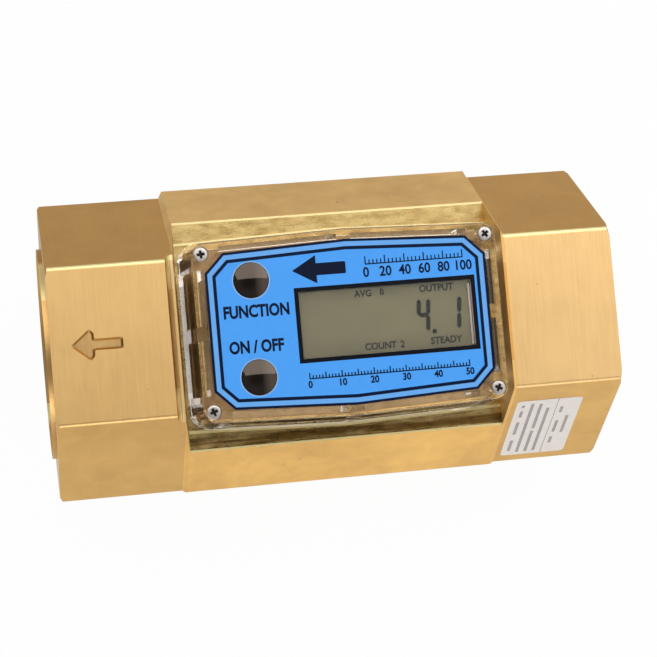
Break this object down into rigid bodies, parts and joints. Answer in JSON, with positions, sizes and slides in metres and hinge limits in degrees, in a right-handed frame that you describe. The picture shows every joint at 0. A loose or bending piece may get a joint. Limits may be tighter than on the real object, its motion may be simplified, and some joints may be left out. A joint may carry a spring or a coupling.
{
  "type": "turbine flow meter",
  "caption": "Inline turbine flow meter: hexagonal brass body with female pipe ends, axial rotor inside, and a clear-cased battery display with window and press buttons in a milled saddle.",
  "frame": {"origin": "on the surface the meter lies on, below the flow axis at mid-length", "axes": "X along the flow axis with the inlet at +X and the outlet at -X, +Y towards the top of the display, +Z out of the display face"},
  "size_m": [0.165, 0.0902, 0.083],
  "materials": {
    "brass": "machined, satin, fine tool lines",
    "clear_smoke": "clear smoky moulded plastic, polished",
    "label_blue": "printed film, satin",
    "black_frame": "fine matte",
    "clear_lens": "polished",
    "lcd_glass": "polished glass over grey-green polariser",
    "reflector": "matte foil",
    "zebra_rubber": "matte",
    "button_black": "glossy dome",
    "gasket_rubber": "matte",
    "screw_steel": "bright, passivated",
    "case_plastic": "moulded, matte",
    "board_green": "solder mask",
    "chip_black": "moulded, matte",
    "cell_steel": "plated, satin",
    "copper_wire": "enamelled wire",
    "core_steel": "ground",
    "turbine_plastic": "moulded fluoropolymer, satin",
    "shaft_carbide": "ground",
    "bearing_ceramic": "polished ceramic",
    "ring_steel": "spring steel, satin"
  },
  "bodies": {
    "meter": {"meter_body": "brass", "display_housing": "clear_smoke", "face_label": "label_blue", "window_frame": "black_frame", "window_lens": "clear_lens", "display_cell": "lcd_glass", "display_reflector": "reflector", "display_connectors": "zebra_rubber", "housing_gasket": "gasket_rubber", "housing_screws": "screw_steel", "electronics_case": "case_plastic", "circuit_board": "board_green", "board_components": "chip_black", "button_switches": "chip_black", "left_coin_cell": "cell_steel", "right_coin_cell": "cell_steel", "battery_contacts": "cell_steel", "coil_bobbin": "case_plastic", "pickup_coil": "copper_wire", "coil_core": "core_steel", "inlet_bearing": "bearing_ceramic", "outlet_bearing": "bearing_ceramic", "inlet_support": "turbine_plastic", "outlet_support": "turbine_plastic", "inlet_retaining_ring": "ring_steel", "outlet_retaining_ring": "ring_steel"},
    "rotor_wheel": {"rotor": "turbine_plastic", "rotor_shaft": "shaft_carbide", "signal_pins": "core_steel"},
    "upper_button_cap": {"upper_button": "button_black"},
    "lower_button_cap": {"lower_button": "button_black"}
  },
  "joints": [
    {"name": "rotor_spin", "type": "hinge", "parent": "meter", "child": "rotor_wheel", "pos_m": [0.0026, 0, 0.03925], "axis": [1, 0, 0], "continuous": true},
    {"name": "upper_button_press", "type": "slide", "parent": "meter", "child": "upper_button_cap", "axis": [0, 0, -1], "range_m": [0, 0.0008], "stiffness_N_per_m": 900, "springref_m": -0.0002},
    {"name": "lower_button_press", "type": "slide", "parent": "meter", "child": "lower_button_cap", "axis": [0, 0, -1], "range_m": [0, 0.0008], "stiffness_N_per_m": 900, "springref_m": -0.0002}
  ]
}
